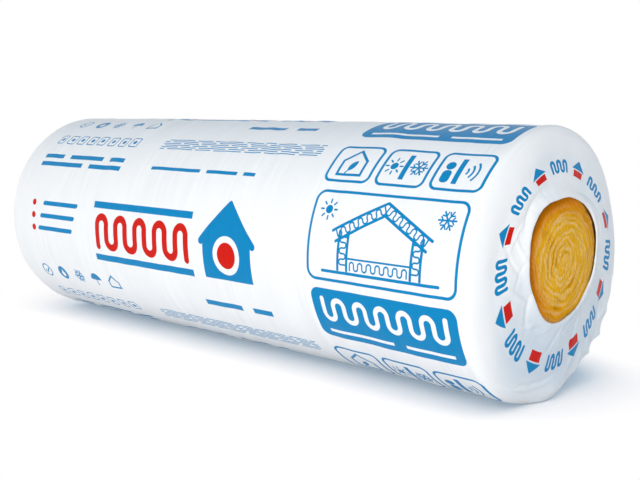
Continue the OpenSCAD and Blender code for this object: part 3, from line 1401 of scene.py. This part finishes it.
@dataclass
class WoolRoll:
    """The rolled blanket: a closed roll whose ends bulge a little through the film's openings."""

    sizes: RollSizes
    film: FilmWrap
    finish: WoolFinish = field(default_factory=WoolFinish)
    columns: int = 288
    end_rows: int = 128
    detailed_radius: float = 0.128
    hidden_rows: int = 5
    shoulder_reach: float = 0.07
    shoulder_depth: float = 0.026
    side_start: float = 0.1
    middle_room: float = 0.02
    film_room: float = 3.5 * MM
    turn_pitch: float = 0.0135
    turn_sway: float = 0.2
    turn_shiver: float = 0.09
    ridge_power: float = 0.45
    joint_depth: float = 0.6 * MM
    joint_open: float = 0.2
    joint_varies: float = 0.55
    joint_range: Span = (0.1, 1.4)
    grain_height: float = 0.25 * MM
    lump_height: float = 0.45 * MM
    streak_base: float = 0.3
    streak_band: float = 0.34
    streak_share: float = 0.3
    relief_fade: float = 0.012
    bulge_radius: float = 0.140
    bulge_power: int = 4
    bulge_fade: Span = (0.110, 0.096)
    # where and how strongly shade is painted on the wool next to the film's lip, most at the rim's angle
    rim_start: float = 0.049
    rim_power: float = 1.5
    rim_angle: float = 34.0
    rim_level: float = 0.55
    rim_swing: float = 0.45
    sunk: float = 0.004
    centre_y: float = 0.0
    centre_z: float = 0.008

    def turns(self, y: np.ndarray, z: np.ndarray, seed: int) -> tuple[np.ndarray, np.ndarray]:
        """Where a point of an end lies in the spiral of turns.

        The turn's number is radius / pitch + angle / full turn, pushed about by a soft unevenness, and its
        fraction is the place across the turn.

        Args:
            y: place across the end, from the axis.
            z: place up the end, from the axis.
            seed: seed of the unevenness.

        Returns:
            The place across the turn from 0 to 1, and the angle along the spiral.
        """
        radii = np.hypot(y - self.centre_y, z - self.centre_z)
        angles = np.arctan2(z - self.centre_z, y - self.centre_y)
        wide = Ripples(seed, (-70, 70), (-70, 70), waves=16).at(y, z)
        fine = Ripples(seed + 1, (-260, 260), (-260, 260), waves=30).at(y, z)
        uneven = self.turn_sway * wide + self.turn_shiver * fine
        number = radii / self.turn_pitch + angles / TURN + uneven
        whole = np.floor(number)
        return number - whole, angles - TURN * whole

    def end_relief(self, y: np.ndarray, z: np.ndarray, seed: int) -> tuple[np.ndarray, ...]:
        """Relief of an end.

        Each turn is a rounded ridge, the joint between two is a narrow groove whose depth varies, and the
        cut fibres make a fine unevenness.

        Args:
            y: place across the end, from the axis.
            z: place up the end, from the axis.
            seed: seed of the unevenness.

        Returns:
            The height, how near the top of a turn a point lies, and the pale streaks along the turns.
        """
        across, along = self.turns(y, z, seed)
        ridge = np.abs(np.sin(math.pi * across)) ** self.ridge_power
        varied = self.joint_varies * Ripples(seed + 2, (-130, 130), (-130, 130)).at(y, z)
        joint = np.clip(self.joint_open + varied, *self.joint_range) * (1 - ridge)
        grain = Ripples(seed + 3, (-900, 900), (-900, 900), waves=40).at(y, z)
        lumps = Ripples(seed + 4, (-200, 200), (-200, 200), waves=24).at(y, z)
        streak = Ripples(seed + 5, (1.5, 7), (4, 13), waves=24).at(along, across)
        band = np.sin(math.pi * across) ** 2
        height = self.grain_height * grain + self.lump_height * lumps - self.joint_depth * joint
        pale = self.streak_base + self.streak_band * band + self.streak_share * streak
        return height, 1 - joint, pale

    def rows(self) -> tuple[np.ndarray, np.ndarray]:
        """The rows of one half: fine ones over the end that shows, coarse ones over the hidden shoulder and
        along the hidden side.

        Returns:
            The radius of each row, and how far it lies back from the end.
        """
        fine = np.linspace(0, self.detailed_radius, self.end_rows)
        bend = np.linspace(0, math.pi / 2, self.hidden_rows)
        radius = self.sizes.film_radius - self.film_room
        shoulder = radius - self.shoulder_reach * (1 - np.sin(bend))
        side = np.linspace(self.side_start, self.sizes.wool_end - self.middle_room, self.hidden_rows)
        radii = np.concatenate([fine, shoulder, np.full_like(side, radius)])
        back = np.concatenate([np.zeros_like(fine), self.shoulder_depth * (1 - np.cos(bend)), side])
        return radii[:, None], back[:, None]

    def half(self, end: FilmEnd, angles: np.ndarray) -> tuple[np.ndarray, ...]:
        """One half of the wool, from the middle of its end to the middle of its side.

        The end bulges by 1 - (distance from the opening's middle / bulge radius) to the fourth power, which
        fades out under the film, and the hidden side follows the film's oval.

        Args:
            end: the film's end that the wool shows through.
            angles: angles of the columns.

        Returns:
            The points, how near the top of a turn each lies, the streaks along the turns, and how much
            shade is painted near the film's lip.
        """
        radii, back = self.rows()
        places = end.side * (self.sizes.wool_end - back)
        reach = radii + ease(radii, self.detailed_radius, radii[-1]) * self.film.side_spread(angles, places)
        y, z = -reach * np.cos(angles), reach * np.sin(angles)
        height, crest, streak = self.end_relief(y, z, end.seed + 100)
        shown = ease(radii, self.detailed_radius, self.detailed_radius - self.relief_fade)
        away = np.hypot(y - end.opening_y, z - end.opening_z)
        from_lip = away - end.opening_edge(angles)
        dome = end.wool_bulge * np.clip(1 - (away / self.bulge_radius) ** self.bulge_power, 0, 1)
        dome = dome * ease(from_lip, *self.bulge_fade)
        x = places + end.side * (shown * (dome + height) - self.sunk * (1 - shown))
        up = np.maximum(z + self.sizes.film_radius, self.film_room / 2)
        # painted shade near the film's lip, strongest at the rim's angle
        rim_shade = ease(from_lip, self.rim_start, self.film.opening_radius) ** self.rim_power
        rim_shade = rim_shade * (self.rim_level + self.rim_swing * np.cos(angles - math.radians(self.rim_angle)))
        return np.stack([x, y, up], axis=-1), crest, streak, rim_shade

    def build(self) -> bpy.types.Object:
        """Make the wool: both ends with their turns, and a plain side that the film hides."""
        angles = self.film.column_angles(self.columns)[None, :]
        right, left = (self.half(end, angles) for end in (RIGHT_END, LEFT_END))
        points, *values = (np.concatenate([one, other[::-1]]) for one, other in zip(right, left))
        piece = Lattice(points, Closing.POLES).to_object("wool_blanket")
        merged = np.ones(points.shape[:2], bool)
        merged[0, 1:] = merged[-1, 1:] = False
        for name, value in zip(("turn_crest", "turn_streak", "rim_shade"), values):
            add_values(piece, name, value[merged])
        return piece

    def dress(self, piece: bpy.types.Object) -> None:
        """Give the wool its finish and its body, and hide the solid that it stands in for."""
        piece.data.materials.append(self.finish.material())
        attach(piece, "root")
        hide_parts("wool_roll")


@dataclass(frozen=True)
class FloorFinish:
    """Pale floor that shows white to the eye and keeps the shadow of what stands on it."""

    bounce: Colour = (0.315, 0.375, 0.445)
    seen: Colour = (0.40, 0.40, 0.40)
    shadow: Colour = (0.236, 0.308, 0.380)
    fade_shape: Triple = (0.75, 1.6, 1.0)
    white_from: float = 0.50
    white_to: float = 0.66

    def material(self) -> bpy.types.Material:
        """Make the material: a matt floor for bounced light, one with a faint blue glow in its shadows where
        it is looked at, and plain white away from the roll, by an oval that follows its footprint."""
        tree = Tree.material("pale_floor")
        oval = tree.add("ShaderNodeVectorMath", operation="MULTIPLY")
        oval.inputs[1].default_value = self.fade_shape
        tree.link(tree.add("ShaderNodeTexCoord").outputs["Object"], oval.inputs[0])
        distance = tree.add("ShaderNodeVectorMath", operation="LENGTH")
        tree.link(oval.outputs[0], distance.inputs[0])
        far = tree.field(distance.outputs["Value"]).ramp(self.white_from, self.white_to)
        lit = tree.add("ShaderNodeAddShader")
        tree.link(tree.shader("BsdfDiffuse", self.seen), lit.inputs[0])
        tree.link(tree.shader("Emission", self.shadow), lit.inputs[1])
        shown = tree.blend(far, lit.outputs[0], tree.shader("Emission", WHITE))
        tree.show(tree.blend(tree.looked_at(), tree.shader("BsdfDiffuse", self.bounce), shown))
        return tree.owner


def aim(holder: bpy.types.Object, place: Vector, direction: Vector) -> None:
    """Put a lamp or a camera at a place, turned to look in a direction, and add it to the scene."""
    holder.location = place
    holder.rotation_mode = "QUATERNION"
    holder.rotation_quaternion = direction.to_track_quat("-Z", "Y")
    bpy.context.scene.collection.objects.link(holder)


@dataclass(frozen=True)
class Lamp:
    """A broad soft lamp that looks at the roll from a direction, given as seen from the roll."""

    name: str
    direction: Triple
    power: float
    width: float = 4.4
    colour: Colour = (1.0, 0.98, 0.955)
    distance: float = 6.0
    mirrored: bool = True

    def build(self, target: Vector) -> bpy.types.Object:
        """Hang the lamp, looking at a target."""
        light = bpy.data.lights.new(self.name, "AREA")
        light.shape = "DISK"
        light.size = self.width
        light.energy = self.power
        light.color = self.colour
        holder = bpy.data.objects.new(self.name, light)
        holder.visible_glossy = self.mirrored
        towards = Vector(self.direction).normalized()
        aim(holder, target + towards * self.distance, -towards)
        return holder


@dataclass(frozen=True)
class Studio:
    """The floor, the soft light and the camera."""

    sizes: RollSizes
    floor: FloorFinish = field(default_factory=FloorFinish)
    floor_reach: float = 6.0
    lamps: tuple[Lamp, ...] = (
        Lamp("key", (0.47, -0.84, 0.30), power=244.0),
        Lamp("fill", (-0.80, 0.58, 0.04), power=100.0, mirrored=False),
        Lamp("back", (0.30, 0.95, 0.0), power=90.0, mirrored=False),
    )
    floor_lamp: Lamp = Lamp("above", (0.12, -0.56, 0.82), power=1080.0, width=9.0, colour=(1.0, 0.81, 0.65))
    sky: Colour = (0.425, 0.450, 0.470)
    dark_sky: Colour = (0.040, 0.200, 0.360)
    dark_direction: Triple = (-0.35, 0.50, 0.79)
    dark_power: float = 1.5
    eye: Triple = (6.7066, -6.4426, 1.1368)
    azimuth: float = 43.665
    elevation: float = 7.407
    lens: float = 58.45
    sensor_width: float = 36.0

    def build(self) -> None:
        """Make the floor, the lamps, the background and the camera."""
        middle = Vector((0, 0, self.sizes.film_radius))
        floor = self._floor()
        for lamp in self.lamps:
            lamp.build(middle)
        above = self.floor_lamp.build(middle)
        above.light_linking.receiver_collection = bpy.data.collections.new("lit_from_above")
        above.light_linking.receiver_collection.objects.link(floor)
        self._sky()
        self._camera(middle)

    def _floor(self) -> bpy.types.Object:
        """A level floor under the roll."""
        reach = self.floor_reach
        corners = [(-reach, -reach, 0), (reach, -reach, 0), (reach, reach, 0), (-reach, reach, 0)]
        mesh = bpy.data.meshes.new("floor")
        mesh.from_pydata(corners, [], [(0, 1, 2, 3)])
        floor = bpy.data.objects.new("floor", mesh)
        mesh.materials.append(self.floor.material())
        bpy.context.scene.collection.objects.link(floor)
        return floor

    def _sky(self) -> None:
        """Soft light from all round, which is darker above and behind by a power of the cosine to the dark
        direction, and a white background where it is looked at."""
        world = bpy.data.worlds.new("studio")
        world.use_nodes = True
        world.node_tree.nodes.clear()
        tree = Tree(world.node_tree)
        inwards = tree.parts(tree.add("ShaderNodeNewGeometry").outputs["Incoming"])
        x, y, z = (part * -share for part, share in zip(inwards, self.dark_direction))
        dark = (x + y + z).high(0.0).math("POWER", self.dark_power)
        light = tree.shader("Background", tree.mix(dark, self.sky, self.dark_sky))
        tree.show(tree.blend(tree.looked_at(), light, tree.shader("Background", WHITE)), "World")
        bpy.context.scene.world = world

    def _camera(self, middle: Vector) -> None:
        """The viewer's eye, at a place given in radii of the roll from the middle of its axis."""
        lens = bpy.data.cameras.new("eye")
        lens.lens = self.lens
        lens.sensor_width = self.sensor_width
        camera = bpy.data.objects.new("eye", lens)
        a, e = math.radians(self.azimuth), math.radians(self.elevation)
        back = Vector((math.sin(a) * math.cos(e), -math.cos(a) * math.cos(e), math.sin(e)))
        aim(camera, Vector(self.eye) * self.sizes.film_radius + middle, -back)
        bpy.context.scene.camera = camera


def main() -> None:
    """Load the solids, dress them and set up the studio."""
    logging.basicConfig(level=logging.INFO)
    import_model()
    sizes = RollSizes.from_frame()
    film = FilmWrap(sizes)
    for part in (WoolRoll(sizes, film), film):
        piece = part.build()
        part.dress(piece)
        log.info("%s: %d faces", piece.name, len(piece.data.polygons))
    Studio(sizes).build()
    bpy.context.scene.view_settings.view_transform = "Standard"


if __name__ == "__main__":
    main()
